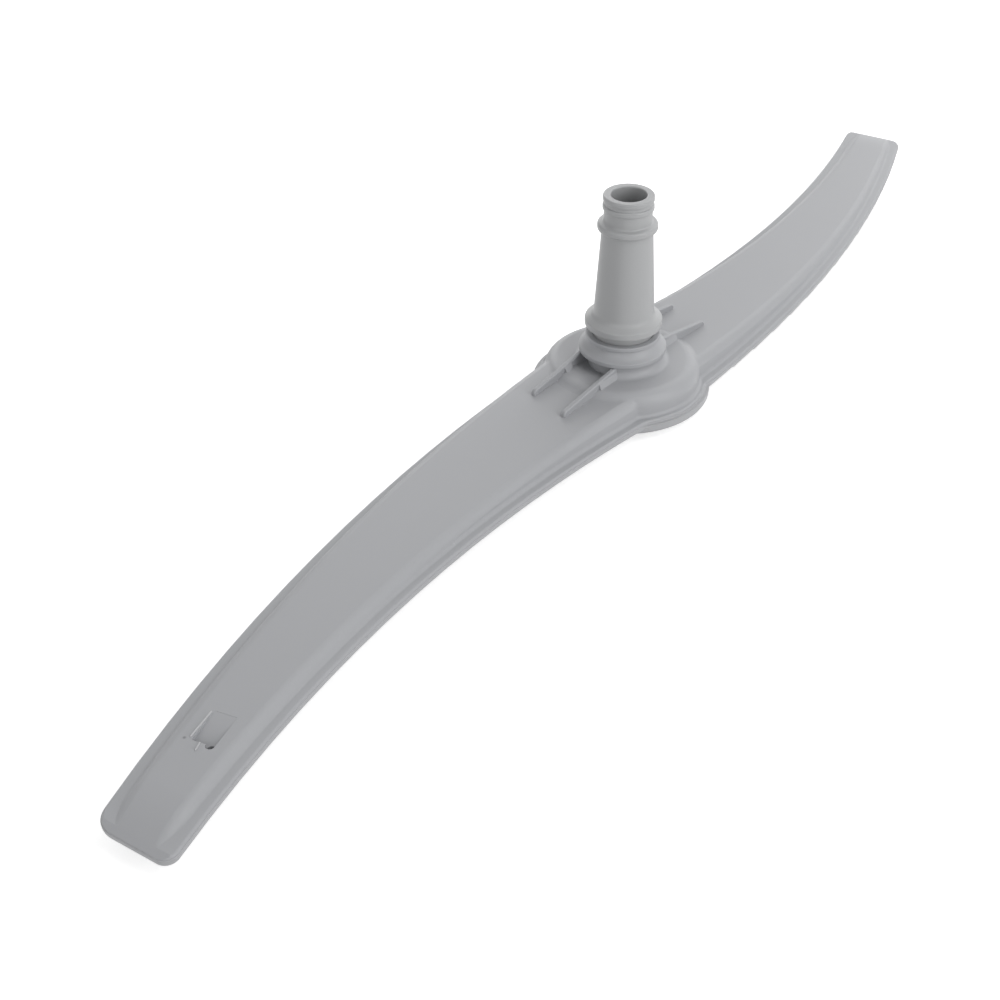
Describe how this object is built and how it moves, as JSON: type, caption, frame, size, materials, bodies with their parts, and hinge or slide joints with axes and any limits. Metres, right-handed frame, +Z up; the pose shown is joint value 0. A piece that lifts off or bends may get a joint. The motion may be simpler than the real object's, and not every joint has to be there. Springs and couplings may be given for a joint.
{
  "type": "dishwasher spray arm",
  "caption": "Grey moulded dishwasher spray arm, curved S plan, welded hollow half shells with slotted nozzles below, gusset ribs at the hub and a tall snap-in inlet neck that turns freely.",
  "frame": {"origin": "on the spin axis, at the level of the hub foot that the arm rests on", "axes": "+Z up along the inlet neck, +X along the far arm, +Y completes the right-handed frame"},
  "size_m": [0.465, 0.059, 0.0721],
  "materials": {
    "shell_plastic": "fine matte moulded polypropylene",
    "rim_plastic": "fine matte moulded polypropylene",
    "neck_plastic": "smooth satin moulded polypropylene"
  },
  "bodies": {
    "arm": {"neck_side_shell": "shell_plastic", "spray_side_shell": "rim_plastic"},
    "neck": {"inlet_neck": "neck_plastic"}
  },
  "joints": [
    {"name": "neck_spin", "type": "hinge", "parent": "arm", "child": "neck", "pos_m": [0, 0, 0.022], "axis": [0, 0, 1], "continuous": true}
  ]
}
